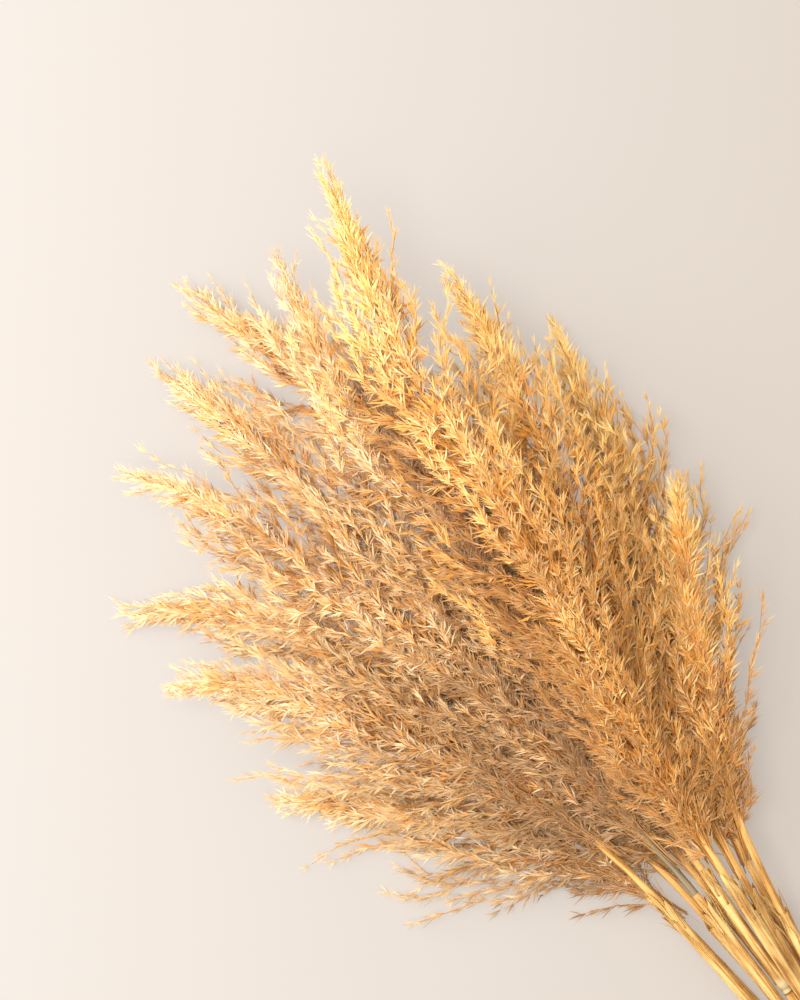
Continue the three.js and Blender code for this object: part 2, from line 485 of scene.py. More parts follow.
def between(stops: np.ndarray, known: np.ndarray, points: np.ndarray) -> np.ndarray:
    """Points between known ones.

    Args:
        stops: where they are wanted.
        known: where the known points are, ascending.
        points: the known points, (n, 3).

    Returns:
        The points at the stops.
    """
    return np.stack([np.interp(stops, known, points[:, axis]) for axis in range(3)], axis=-1)


@dataclass
class CentreLine:
    """A line through a piece, with the piece's half width and half height along it."""

    points: np.ndarray
    widths: np.ndarray
    heights: np.ndarray
    along: np.ndarray = field(init=False)

    def __post_init__(self) -> None:
        """Measures the distance of each point along the line."""
        self.along = distances_along(self.points)

    @staticmethod
    def through(sections: list[tuple[np.ndarray, float, float]]) -> "CentreLine":
        """The line through the middles of sections."""
        return CentreLine(*(np.array(column) for column in zip(*sections)))

    @property
    def length(self) -> float:
        """The whole length of the line."""
        return float(self.along[-1])

    def at(self, distance: np.ndarray) -> np.ndarray:
        """Points of the line, which runs straight on past both ends.

        Args:
            distance: distances along the line.

        Returns:
            The points at them.
        """
        points = between(distance, self.along, self.points)
        before = np.minimum(np.asarray(distance), 0)[..., None]
        past = np.maximum(np.asarray(distance) - self.length, 0)[..., None]
        start, end = unit(self.points[2] - self.points[0]), unit(self.points[-1] - self.points[-3])
        return points + before * start + past * end

    def tangent(self, distance: np.ndarray, reach: float = 0.006) -> np.ndarray:
        """The line's direction at distances along it."""
        low = np.clip(distance - reach, 0, self.length - reach)
        return unit(self.at(low + 2 * reach) - self.at(low))

    def axes(self, distance: np.ndarray) -> tuple[np.ndarray, np.ndarray, np.ndarray]:
        """Directions that stand square to each other.

        Args:
            distance: distances along the line.

        Returns:
            The directions along, beside and above the line at them.
        """
        ahead = self.tangent(distance)
        side = unit(np.cross(UP, ahead))
        return ahead, side, np.cross(ahead, side)

    def width(self, distance: np.ndarray) -> np.ndarray:
        """The piece's half width at distances along the line."""
        return np.interp(distance, self.along, self.widths)

    def height(self, distance: np.ndarray) -> np.ndarray:
        """The piece's half height at distances along the line."""
        return np.interp(distance, self.along, self.heights)


def stem_line(node: str, step: float = 0.001) -> CentreLine:
    """The centre line of a nearly straight piece that runs along X.

    Args:
        node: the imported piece.
        step: how far apart it is cut.

    Returns:
        The line, from the cut end on.
    """
    piece, (low, high) = PackedPiece(node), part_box(node)
    places = np.arange(low.x + step / 2, high.x - step / 2, step)
    cuts = (piece.section(ALONG_BUNCH * x, ALONG_BUNCH) for x in places)
    return CentreLine.through([found for found in cuts if found])


def plume_line(
    node: str,
    step: float = 0.010,
    neck: float = 0.004,
    lower: float = 0.05,
    start: float = 0.001,
    gap: float = 0.002,
) -> CentreLine:
    """The centre line of a bent plume, found by walking from its neck to its tip.

    Args:
        node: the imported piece.
        step: how far apart it is cut.
        neck: how much of it counts as its end.
        lower: how much of it shows the direction in which it starts.
        start: how far from its end it is first cut.
        gap: how near the last cut comes to the tip without a point at the tip itself.

    Returns:
        The line, from neck to tip.
    """
    piece = PackedPiece(node)
    ends = piece.starts
    past_neck = ends[:, 0] - ends[:, 0].min()
    middle = np.apply_along_axis(halfway, 0, ends[past_neck < neck])
    ahead = unit(ends[past_neck < lower].mean(0) - middle)
    sections = []
    origin = middle + ahead * start
    while found := piece.section(origin, ahead):
        if sections:
            ahead = unit(ahead + unit(found[0] - sections[-1][0]))
        sections.append(found)
        origin = found[0] + ahead * step
    last = sections[-1][0]
    tip = ends[((ends - last) @ ahead).argmax()]
    if np.linalg.norm(tip - last) > gap:
        sections.append((tip, 0.0, 0.0))
    return CentreLine.through(sections)


# ---- Shapes that are repeated by stamping ----


@dataclass
class Template:
    """A small closed shape that is stamped many times: its corners, triangles and map."""

    corners: np.ndarray
    triangles: np.ndarray
    along: np.ndarray
    tint: np.ndarray
    kind: np.ndarray

    map_reach: ClassVar[float] = 0.97
    map_width: ClassVar[float] = 0.015

    @staticmethod
    def taken_from(shape: bmesh.types.BMesh, kind: Kind, length: float) -> "Template":
        """Takes a finished mesh, and maps it along Z and across its own tint.

        Args:
            shape: the mesh, which is freed.
            kind: the strip of the map that it takes its colour from.
            length: its length along Z.

        Returns:
            The template.
        """
        bmesh.ops.triangulate(shape, faces=shape.faces[:])
        bmesh.ops.recalc_face_normals(shape, faces=shape.faces[:])
        shape.verts.index_update()
        corners = np.array([vertex.co for vertex in shape.verts])
        triangles = np.array([[vertex.index for vertex in face.verts] for face in shape.faces])
        shape.free()
        around = np.tile([-1.0, 0.0, 1.0], len(triangles))
        along = np.clip(corners[triangles.ravel(), 2] / length, 0, 1) * Template.map_reach
        along += Template.map_width * (around == 0)
        return Template(corners, triangles, along, around * TINT_SPREAD, np.full(along.shape, kind.value))

    @staticmethod
    def joined(parts: list["Template"]) -> "Template":
        """Several shapes as one.

        Args:
            parts: the shapes.

        Returns:
            All of them, with their triangles' corners counted on.
        """
        first = np.cumsum([0] + [len(part.corners) for part in parts[:-1]])
        shifted = [replace(part, triangles=part.triangles + start) for part, start in zip(parts, first)]
        names = [column.name for column in fields(Template)]
        return Template(*(np.concatenate([getattr(part, name) for part in shifted]) for name in names))

    def moved(self, matrix: Matrix, tint: float) -> "Template":
        """The shape moved by a matrix, with its tint changed."""
        turn, shift = np.array(matrix.to_3x3()), np.array(matrix.to_translation())
        return replace(self, corners=self.corners @ turn.T + shift, tint=self.tint + tint)


def blade(
    kind: Kind,
    length: float,
    width: float,
    bow: float,
    sweep: float,
    belly: float,
    keel: float = 0.25,
    slant: float = 0.08,
) -> Template:
    """A keeled blade along Z, pointed at its foot and drawn out to a fine tip.

    Args:
        kind: a glume, or a hair.
        length: from foot to tip.
        width: at its widest.
        bow: how far the tip bends towards the keel.
        sweep: how far its widest part lies aside, which curves it like a sickle.
        belly: where it is widest, as a share of its length.
        keel: how far its edges stand back from the keel, as a share of its width.
        slant: how much higher one edge is widest than the other, as a share of its length.

    Returns:
        The blade.
    """
    shape = bmesh.new()
    bmesh.ops.create_cone(shape, cap_ends=True, segments=3, radius1=1.0, radius2=0.0, depth=1.0)
    tip = max(shape.verts, key=lambda vertex: vertex.co.z)
    base = [vertex for vertex in shape.verts if vertex is not tip]
    base[0].co = (0, 0, 0)
    base[1].co = (sweep - width / 2, -width * keel, length * belly)
    base[2].co = (sweep + width / 2, -width * keel, length * (belly + slant))
    tip.co = (0, bow, length)
    return Template.taken_from(shape, kind, length)


def tube_shape(rings: int, sides: int) -> bmesh.types.BMesh:
    """A closed tube of radius one along Z, whose Z counts its rings.

    Args:
        rings: how many rings of corners it has.
        sides: how many corners a ring has.

    Returns:
        The tube.
    """
    shape = bmesh.new()
    depth = rings - 1.0
    middle = Matrix.Translation((0, 0, depth / 2))
    bmesh.ops.create_cone(
        shape, cap_ends=True, segments=sides, radius1=1.0, radius2=1.0, depth=depth, matrix=middle
    )
    uprights = [edge for edge in shape.edges if abs(edge.verts[0].co.z - edge.verts[1].co.z) > 0.5]
    bmesh.ops.subdivide_edges(shape, edges=uprights, cuts=rings - 2)
    return shape


def twig_tube(rings: int) -> Template:
    """A slender tube with three sides, whose Z counts its rings."""
    return Template.taken_from(tube_shape(rings, 3), Kind.TWIG, rings - 1.0)


def placed(name: str, data: bpy.types.ID) -> bpy.types.Object:
    """An object at the origin, linked to the scene.

    Args:
        name: its name.
        data: its mesh, light or camera.

    Returns:
        The object.
    """
    thing = bpy.data.objects.new(name, data)
    bpy.context.scene.collection.objects.link(thing)
    return thing


@dataclass
class StampedMesh:
    """A mesh made of many copies of templates."""

    corners: list[np.ndarray] = field(default_factory=list)
    triangles: list[np.ndarray] = field(default_factory=list)
    maps: list[np.ndarray] = field(default_factory=list)
    normals: list[np.ndarray] = field(default_factory=list)
    count: int = 0

    def stamp(
        self,
        template: Template,
        places: np.ndarray,
        axes: np.ndarray,
        tints: np.ndarray,
        facing: np.ndarray,
    ) -> None:
        """Adds copies of a template, softly shaded as parts of one surface.

        Args:
            template: what is copied.
            places: the copies' origins, (n, 3).
            axes: their axes as columns, (n, 3, 3).
            tints: their tints, (n).
            facing: where the surface faces at each copy, (n, 3).
        """
        corners = np.einsum("nij,vj->nvi", axes, template.corners) + places[:, None, :]
        faces = self._add(template, corners, tints)
        soft = facing[:, None] * BLADE_SOFTNESS + faces * (1 - BLADE_SOFTNESS)
        behind = np.maximum(LEAST_FACING - (soft * faces).sum(-1, keepdims=True), 0)
        soft = unit(soft + faces * behind)
        self.normals.append(np.repeat(soft.reshape(-1, 3), 3, axis=0))

    def bend(self, template: Template, lines: np.ndarray, widths: np.ndarray, tints: np.ndarray) -> None:
        """Adds copies of a tube that follow lines.

        Args:
            template: the tube, whose Z counts its rings.
            lines: the lines' points, (n, rings, 3).
            widths: the tube's width at each point, (n, rings).
            tints: the copies' tints, (n).
        """
        ahead = unit(np.gradient(lines, axis=1))
        side = unit(np.cross(ahead, UP + 0.01))
        up = np.cross(side, ahead)
        ring = np.rint(template.corners[:, 2]).astype(int)
        across = (widths[:, ring] * template.corners[:, 0] / 2)[..., None] * side[:, ring]
        above = (widths[:, ring] * template.corners[:, 1] / 2)[..., None] * up[:, ring]
        faces = self._add(template, lines[:, ring] + across + above, tints)
        shared = np.zeros((len(lines), len(template.corners), 3))
        for column in template.triangles.T:
            np.add.at(shared, (slice(None), column), faces)
        self.normals.append(unit(shared)[:, template.triangles].reshape(-1, 3))

    def _add(self, template: Template, corners: np.ndarray, tints: np.ndarray) -> np.ndarray:
        """Adds copies whose corners are known, none of them through the floor.

        Args:
            template: what is copied.
            corners: the copies' corners, (n, corners, 3).
            tints: their tints, (n).

        Returns:
            The normals of their faces, (n, faces, 3).
        """
        sunk = np.minimum(corners[:, :, 2].min(axis=1) - FLOOR_CLEARANCE, 0)
        corners[:, :, 2] -= sunk[:, None]
        starts = self.count + np.arange(len(corners)) * len(template.corners)
        self.count += corners.shape[0] * corners.shape[1]
        self.corners.append(corners.reshape(-1, 3))
        self.triangles.append((template.triangles[None] + starts[:, None, None]).reshape(-1, 3))
        tint = np.clip(tints[:, None] + template.tint[None], LEAST_TINT, 1 - LEAST_TINT)
        across = (template.kind[None] + tint) / len(Kind)
        along = np.broadcast_to(template.along[None], across.shape)
        self.maps.append(np.stack([along, across], axis=-1).reshape(-1, 2))
        first, second, third = (corners[:, template.triangles[:, index]] for index in range(3))
        return unit(np.cross(second - first, third - first))

    def build(self, name: str) -> bpy.types.Object:
        """Makes one object of all the copies, with its map and its soft normals.

        Args:
            name: the object's name.

        Returns:
            The object, linked to the scene.
        """
        corners, triangles = np.concatenate(self.corners), np.concatenate(self.triangles)
        mesh = bpy.data.meshes.new(name)
        mesh.vertices.add(len(corners))
        mesh.vertices.foreach_set("co", corners.astype(np.float32).ravel())
        mesh.loops.add(triangles.size)
        mesh.loops.foreach_set("vertex_index", triangles.astype(np.int32).ravel())
        mesh.polygons.add(len(triangles))
        mesh.polygons.foreach_set("loop_start", np.arange(0, triangles.size, 3, dtype=np.int32))
        layer = mesh.uv_layers.new(name=BLADE_MAP)
        layer.data.foreach_set("uv", np.concatenate(self.maps).astype(np.float32).ravel())
        mesh.update(calc_edges=True)
        mesh.normals_split_custom_set(np.concatenate(self.normals).astype(np.float32))
        return placed(name, mesh)


# ---- Plumes ----


@dataclass(frozen=True)
class SpikeletKind:
    """What a spikelet has: long-pointed glumes and silky hairs, in a narrow fan."""

    glumes: int
    hairs: int
    length: float = 0.0098
    width: float = 0.00048
    hair_length: float = 0.0108
    hair_width: float = 0.00024
    glume_fan: float = 17.0  # degrees to each side
    hair_fan: float = 46.0
    climb: float = 0.0045
    variants: int = 6
    glume_lengths: Range = (0.6, 1.12)  # shares of the length
    glume_widths: Range = (0.7, 1.2)
    glume_bows: Range = (-0.05, 0.14)
    glume_sweeps: Range = (-1.2, 1.2)  # shares of the blade's width
    glume_belly: float = 0.22
    glume_tints: Range = (-0.16, 0.16)
    hair_lengths: Range = (0.55, 1.1)
    hair_widths: Range = (0.8, 1.2)
    hair_bows: Range = (-0.15, 0.15)
    hair_sweeps: Range = (-0.0011, 0.0011)
    hair_belly: float = 0.42
    hair_tints: Range = (-0.25, 0.25)
    lean_spread: float = 11.0  # degrees, forward and back
    twist_spread: float = 25.0

    def templates(self, rng: np.random.Generator) -> list[Template]:
        """Makes the variants, each along Z from its foot."""
        return [self._variant(rng) for _ in range(self.variants)]

    def _variant(self, rng: np.random.Generator) -> Template:
        """One spikelet, whose broad side faces Y.

        Args:
            rng: the source of its unevenness.

        Returns:
            The spikelet.
        """
        parts = []
        for index in range(self.glumes):
            length = self.length * rng.uniform(*self.glume_lengths)
            width = self.width * rng.uniform(*self.glume_widths)
            bow, sweep = rng.uniform(*self.glume_bows) * length, rng.uniform(*self.glume_sweeps) * width
            part = blade(Kind.GLUME, length, width, bow, sweep, self.glume_belly)
            place = self._fanned(rng, index, self.glumes, self.glume_fan)
            parts.append(part.moved(place, rng.uniform(*self.glume_tints)))
        for index in range(self.hairs):
            length = self.hair_length * rng.uniform(*self.hair_lengths)
            width = self.hair_width * rng.uniform(*self.hair_widths)
            bow, sweep = rng.uniform(*self.hair_bows) * length, rng.uniform(*self.hair_sweeps)
            part = blade(Kind.HAIR, length, width, bow, sweep, self.hair_belly)
            place = self._fanned(rng, index, self.hairs, self.hair_fan)
            parts.append(part.moved(place, rng.uniform(*self.hair_tints)))
        return Template.joined(parts)

    def _fanned(self, rng: np.random.Generator, index: int, count: int, spread: float) -> Matrix:
        """Where a blade stands in the spikelet's fan.

        Args:
            rng: the source of its unevenness.
            index: which blade it is.
            count: how many there are.
            spread: how far the outer ones lean aside, in degrees.

        Returns:
            The blade's place.
        """
        aside = spread * (2 * (index + rng.uniform(0.1, 0.9)) / count - 1)
        return (
            Matrix.Translation((0, 0, rng.uniform(0, self.climb)))
            @ Matrix.Rotation(math.radians(aside), 4, "Y")
            @ Matrix.Rotation(math.radians(rng.normal(0, self.lean_spread)), 4, "X")
            @ Matrix.Rotation(math.radians(rng.normal(0, self.twist_spread)), 4, "Z")
        )


@dataclass(frozen=True)
class PlumeKind:
    """The character of a plume: its finish, its spikelets, how pale it is and how full."""

    finish: PlumeFinish
    outer: SpikeletKind
    inner: SpikeletKind  # where nothing but its tint shows
    tint: float
    fullness: float  # its width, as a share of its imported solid's
    belly: float  # how much wider it is around its middle


@dataclass
class Plume:
    """A feathery plume: a middle stalk, side branches, and spikelets along them.

    Shares along the plume or a branch run from 0 at its foot to 1 at its tip. Azimuths are angles around the
    plume's line, in radians, from beside it to above it.
    """

    label: str
    kind: PlumeKind
    highest: CentreLine

    # The shape as a whole.
    spare: float = 0.004
    upward_fullness: float = 1.05
    slender_tip: float = 0.13
    slender_power: float = 1.3
    least_slender: float = 0.02
    neck_spread: float = 0.017
    neck_length: float = 0.016
    neck_flatness: float = 0.6
    belly_power: float = 1.4
    clumping: float = 0.34
    clump_rates: Range = (95.0, 41.0)
    room: float = 0.008
    floor_margin: float = 0.006
    most_beyond: float = 0.013

    # The stalks.
    stalk_width: float = 0.0032
    stalk_taper: float = 0.85
    stalk_power: float = 0.6
    stalk_end: float = 0.95
    stalk_rings: int = 24
    twig_width: float = 0.00055
    twig_taper: Range = (1.3, 0.5)
    strand_taper: Range = (1.2, 0.5)
    branch_rings: int = 7
    branch_gap: float = 0.0022
    last_foot: float = 0.86
    foot_power: float = 1.1
    reach_at_neck: float = 0.11
    reach_at_tip: float = 0.045
    reach_spread: Range = (0.6, 1.15)
    tip_reach: Range = (0.5, 0.46)
    tip_power: float = 1.6
    spread_over: Range = (0.6, 1.1)
    spread_power: float = 1.1
    azimuths: Range = (-0.4, 0.4)
    sideways: float = 0.35
    flare: float = 0.032
    flared_share: float = 0.4
    flare_spread: Range = (0.3, 1.0)
    flare_azimuths: Range = (-0.5, 0.5)
    flare_power: float = 2.2
    full_flare_reach: float = 0.08
    turning: float = 0.6
    wave: float = 0.0022
    waves: Range = (4.0, 9.0)
    droop: float = 0.004
    flare_droop: float = 0.3
    leader_feet: Range = (0.72, 0.84)
    leader_end: float = 0.97
    leader_spread: float = 0.1

    # The neck.
    neck_branches: int = 30
    neck_from: float = -0.02
    neck_run: float = 0.045
    neck_reach: Range = (0.022, 0.04)
    neck_reach_gain: float = 0.015
    neck_over: Range = (0.7, 1.3)
    neck_flare: float = 0.006
    neck_strands: int = 40
    strand_rings: int = 6
    strand_feet: Range = (-0.034, 0.0)
    strand_reach: Range = (0.03, 0.06)
    strand_away: Range = (0.002, 0.012)
    strand_power: float = 1.8
    strand_turning: Range = (-0.3, 0.3)

    # The spikelets.
    spikelet_gap: float = 0.0043
    fewest_spikelets: int = 4
    bare_foot: float = 0.06
    crowding: float = 0.85
    facing_lift: float = 0.004
    facing_spread: float = 0.0035
    beside_spread: float = 0.45
    lift: float = 0.3
    leans: Range = (10.0, 40.0)  # degrees from the branch
    lean_fade: Range = (1.1, 0.45)  # the factor at the branch's foot, and its loss towards the end
    end_lean: float = 0.05
    sizes: Range = (0.75, 1.25)
    size_fade: Range = (1.05, 0.3)
    slim_from: float = 0.75
    slim_lean: float = 0.4
    slim_size: float = 0.22
    shown_from: float = 0.3
    shown_outward: float = 0.6
    shown_facing: float = -0.35
    open_neck: float = 0.02
    open_tip: float = 0.9

    # Their tints.
    tint_spread: float = 0.12
    patch_depth: float = 0.1
    patch_rates: Range = (70.0, 83.0)
    patch_shift: float = 50.0
    outward_tint: float = 0.2
    even_share: float = 0.7
    twig_tints: Range = (0.1, 0.9)
    strand_tints: Range = (0.2, 0.9)
    surface_tilt: Range = (0.6, 0.8)  # how far blades are shaded as facing outwards, and upwards
    tip_tint: float = 0.95
    neck_tint: float = 0.56
    # painted shade: spikelets hidden inside the plume are darkened
    hidden_tint: float = 0.15
    # painted shade: spikelets in the valley beside the highest plume are darkened where its shade falls
    valley_offset: float = 0.026
    valley_width: float = 0.0075
    valley_run: Range = (0.03, 0.27)
    valley_steps: int = 40
    valley_depth: float = 0.65

    def build(self, seed: int) -> bpy.types.Object:
        """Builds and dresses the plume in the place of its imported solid.

        Args:
            seed: what its unevenness comes from.

        Returns:
            The plume.
        """
        self.rng = np.random.default_rng(seed)
        self.line = plume_line(f"plume_{self.label}")
        self.branches: list[np.ndarray] = []
        self.feet: list[tuple[np.ndarray, ...]] = []
        self.phase = self.rng.uniform(0, math.tau)
        self._grow_branches()
        self._grow_leader()
        self._grow_neck_brush()
        piece = self._stamp().build(f"feathers_{self.label}")
        piece.data.materials.append(self.kind.finish.material())
        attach(piece, BODY)
        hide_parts(f"plume_{self.label}")
        return piece

    def _envelope(self, distance: np.ndarray, azimuth: np.ndarray) -> np.ndarray:
        """How far the plume reaches from its line.

        Args:
            distance: distances along the line.
            azimuth: directions around it.

        Returns:
            The reach in each direction.
        """
        to_tip = np.clip((self.line.length - distance) / self.slender_tip, self.least_slender, 1)
        neck = self.neck_spread * (1 - np.exp(-np.maximum(distance, 0) / self.neck_length))
        one, other = self.clump_rates
        clump = np.sin(distance * one + 2 * azimuth + self.phase) * np.sin(distance * other - azimuth)
        swell = (1 + self.clumping * clump) * to_tip**self.slender_power
        share = np.clip(distance / self.line.length, 0, 1)
        belly = self.kind.belly * np.sin(share**self.belly_power * math.pi)
        width = np.maximum(self.line.width(distance) * self.kind.fullness + self.spare, neck)
        width = (width + belly) * swell
        height = self.line.height(distance) * self.upward_fullness
        height = np.maximum(height, neck * self.neck_flatness) * swell
        return 1 / np.sqrt((np.cos(azimuth) / width) ** 2 + (np.sin(azimuth) / height) ** 2)

    def _grow_branches(self) -> None:
        """Side branches all along the stalk."""
        rng, length = self.rng, self.line.length
        count = int(length / self.branch_gap)
        for index in range(count):
            share = (index + rng.uniform(0, 1)) / count
            foot = length * self.last_foot * share**self.foot_power
            reach = self.reach_at_neck + (self.reach_at_tip - self.reach_at_neck) * share
            reach *= rng.uniform(*self.reach_spread)
            least, gain = self.tip_reach
            reach = min(reach, (length - foot) * (least + gain * rng.random() ** self.tip_power))
            azimuth = index * GOLDEN_ANGLE + rng.uniform(*self.azimuths)
            azimuth += self.sideways * math.cos(azimuth)
            flared = rng.random() < self.flared_share
            if flared:
                azimuth = math.pi * (index % 2) + rng.uniform(*self.flare_azimuths)
            flare = self.flare * rng.uniform(*self.flare_spread) * flared
            flare *= min(1.0, (reach / self.full_flare_reach) ** 2)
            self._branch(foot, reach, azimuth, rng.uniform(*self.spread_over), flare)

    def _grow_leader(self) -> None:
        """The end of the stalk itself, set with spikelets up to the plume's tip."""
        length = self.line.length
        for foot in self.leader_feet:
            self._branch(foot * length, (self.leader_end - foot) * length, 0.0, self.leader_spread, 0.0)

    def _grow_neck_brush(self) -> None:
        """Short dense branches that hide the top of the culm."""
        rng = self.rng
        for index in range(self.neck_branches):
            share = index / self.neck_branches
            foot = self.neck_from + self.neck_run * share
            reach = rng.uniform(*self.neck_reach) + self.neck_reach_gain * share
            outward, flare = rng.uniform(*self.neck_over), self.neck_flare * (1 - share)
            self._branch(foot, reach, index * GOLDEN_ANGLE, outward, flare)

    def _branch(self, foot: float, reach: float, azimuth: float, outward: float, flare: float) -> None:
        """One side branch.

        Args:
            foot: where it leaves the stalk, along the plume's line.
            reach: how far it runs along the line.
            azimuth: the direction around the line to which it leaves.
            outward: how near the plume's outside it gets.
            flare: how far its end bends away beyond that.
        """
        rng = self.rng
        share = np.linspace(0, 1, self.branch_rings)
        distance = foot + reach * share
        _, side, up = self.line.axes(distance)
        turn = azimuth + rng.uniform(-self.turning, self.turning) * share
        opening = np.sin(share * math.pi / 2) ** self.spread_power
        spread = self._envelope(distance, turn) * opening * outward + flare * share**self.flare_power
        wave = self.wave * share * np.sin(share * rng.uniform(*self.waves) + rng.uniform(0, math.tau))
        middle = self.line.at(distance)
        points = middle + side * (np.cos(turn) * spread + wave)[:, None]
        points += up * (np.sin(turn) * spread)[:, None]
        points[:, 2] -= (self.droop + flare * self.flare_droop) * share**2
        self._keep_in_room(points)
        self.branches.append(points)
        self._spikelets_along(points, middle, foot, reach, outward + flare / self.flare)

    def _keep_in_room(self, points: np.ndarray) -> None:
        """Bends points that would sink into the floor, or leave the bunch's room, back along it.

        Args:
            points: the points, which are changed, (n, 3).
        """
        margin = self.floor_margin
        low = points[:, 2] < margin
        points[low, 2] = margin * np.exp((points[low, 2] - margin) / margin)
        for axis in range(2):
            over = points[:, axis] - np.clip(points[:, axis], CAD_BOX[0][axis], CAD_BOX[1][axis])
            points[:, axis] -= over - self.room * np.tanh(over / self.room)

    def _spikelets_along(
        self, points: np.ndarray, middle: np.ndarray, foot: float, reach: float, outward: float
    ) -> None:
        """Sets spikelets to both sides of a branch by turns, and one at its end.

        Args:
            points: the branch's points.
            middle: the points of the plume's line beside them.
            foot: where the branch leaves the stalk.
            reach: how far it runs along the line.
            outward: how near the plume's outside it gets.
        """
        rng = self.rng
        number = max(self.fewest_spikelets, round(reach / self.spikelet_gap))
        share = ((np.arange(number) + rng.uniform(0, 1, number)) / number) ** self.crowding
        share = self.bare_foot + (1 - self.bare_foot) * share
        share[-1] = 1.0
        stops = np.linspace(0, 1, len(points))
        place = between(share, stops, points)
        ahead = unit(between(share, stops, np.gradient(points, axis=0)))
        facing = between(share, stops, points - middle) + UP * self.facing_lift
        facing = unit(facing + rng.normal(0, self.facing_spread, (number, 3)))
        sign = np.where(np.arange(number) % 2, 1.0, -1.0)[:, None]
        beside = np.cross(ahead, facing) * sign + rng.normal(0, self.beside_spread, (number, 3))
        beside += facing * self.lift
        beside = unit(beside - ahead * (beside * ahead).sum(1, keepdims=True))
        distance = foot + reach * share
        along = distance / self.line.length
        slim = np.clip((along - self.slim_from) / (1 - self.slim_from), 0, 1)
        lean = np.tan(np.radians(rng.uniform(*self.leans, number)))
        lean = lean * (self.lean_fade[0] - self.lean_fade[1] * share) * (1 - self.slim_lean * slim)
        lean[-1] = self.end_lean
        direction = unit(ahead + beside * lean[:, None])
        size = rng.uniform(*self.sizes, number) * (self.size_fade[0] - self.size_fade[1] * share)
        size = size * (1 - self.slim_size * slim)
        shown = (share > self.shown_from) & (outward > self.shown_outward)
        shown &= facing[:, 2] > self.shown_facing
        shown |= (distance < self.open_neck) | (along > self.open_tip)
        tone = np.full(number, rng.normal(0, self.tint_spread))
        self.feet.append((place, direction, facing, size, share, along, shown, tone))

    def _valley(self, place: np.ndarray) -> np.ndarray:
        """Painted shade: how much darker spikelets are made in the deep valley beside the highest plume,
        where its shade falls.

        Args:
            place: the spikelets' feet, (n, 3).

        Returns:
            What is taken from their tints.
        """
        stops = np.linspace(*self.valley_run, self.valley_steps)
        away = place[:, None, :2] - self.highest.at(stops)[None, :, :2]
        ahead = self.highest.tangent(stops)[None, :, :2]
        nearest = np.linalg.norm(away, axis=-1).argmin(axis=1)
        rows = np.arange(len(place))
        beside = (ahead[..., 0] * away[..., 1] - ahead[..., 1] * away[..., 0])[rows, nearest]
        past = np.abs((ahead * away).sum(-1))[rows, nearest]
        across = (beside - self.valley_offset) / self.valley_width
        return self.valley_depth * np.exp(-(across**2) - (past / self.valley_width) ** 2)

    def _strands(self) -> np.ndarray:
        """Naked side stalks that leave the top of the culm, where the plume begins."""
        rng, strands = self.rng, []
        share = np.linspace(0, 1, self.strand_rings)
        for index in range(self.neck_strands):
            foot, reach = rng.uniform(*self.strand_feet), rng.uniform(*self.strand_reach)
            distance = foot + reach * share
            _, side, up = self.line.axes(np.maximum(distance, 0))
            turn = index * GOLDEN_ANGLE + rng.uniform(*self.strand_turning) * share
            away = self.stalk_width / 2 + rng.uniform(*self.strand_away) * share**self.strand_power
            points = self.line.at(distance) + side * (np.cos(turn) * away)[:, None]
            points += up * (np.sin(turn) * away)[:, None]
            self._keep_in_room(points)
            strands.append(points)
        return np.array(strands)

    def _twigs(self, mesh: StampedMesh, lines: np.ndarray, taper: Range, tints: Range) -> None:
        """Adds slender twigs.

        Args:
            mesh: what they are added to.
            lines: their points, (n, rings, 3).
            taper: their width at both ends, as shares of a twig's.
            tints: the least and the greatest tint.
        """
        widths = np.repeat(self.twig_width * np.linspace(*taper, lines.shape[1])[None], len(lines), axis=0)
        mesh.bend(twig_tube(lines.shape[1]), lines, widths, self.rng.uniform(*tints, len(lines)))

    def _tints(
        self, place: np.ndarray, share: np.ndarray, along: np.ndarray, shown: np.ndarray, tone: np.ndarray
    ) -> np.ndarray:
        """The spikelets' tints, with painted shade on the hidden ones inside the plume and in the valley
        beside the highest plume.

        Args:
            place: the spikelets' feet, (n, 3).
            share: where they stand on their branches.
            along: where they stand on the plume.
            shown: which of them lie on the outside.
            tone: how much paler their whole branches are.

        Returns:
            The tints, where 0 is dark and 1 is pale.
        """
        one, other = self.patch_rates
        shift = self.line.length * self.patch_shift
        patch = np.sin(place[:, 0] * one + shift) * np.sin(place[:, 1] * other) * self.patch_depth
        tint = self.kind.tint + patch + tone + self.rng.normal(0, self.tint_spread, len(place))
        rise = (share - self.even_share) * self.outward_tint
        rise = rise + np.clip(along, 0, 1) * self.tip_tint - self.neck_tint
        # painted shade: hidden spikelets and those in the valley beside the highest plume are darkened
        return tint + (rise - self.hidden_tint * ~shown - self._valley(place))

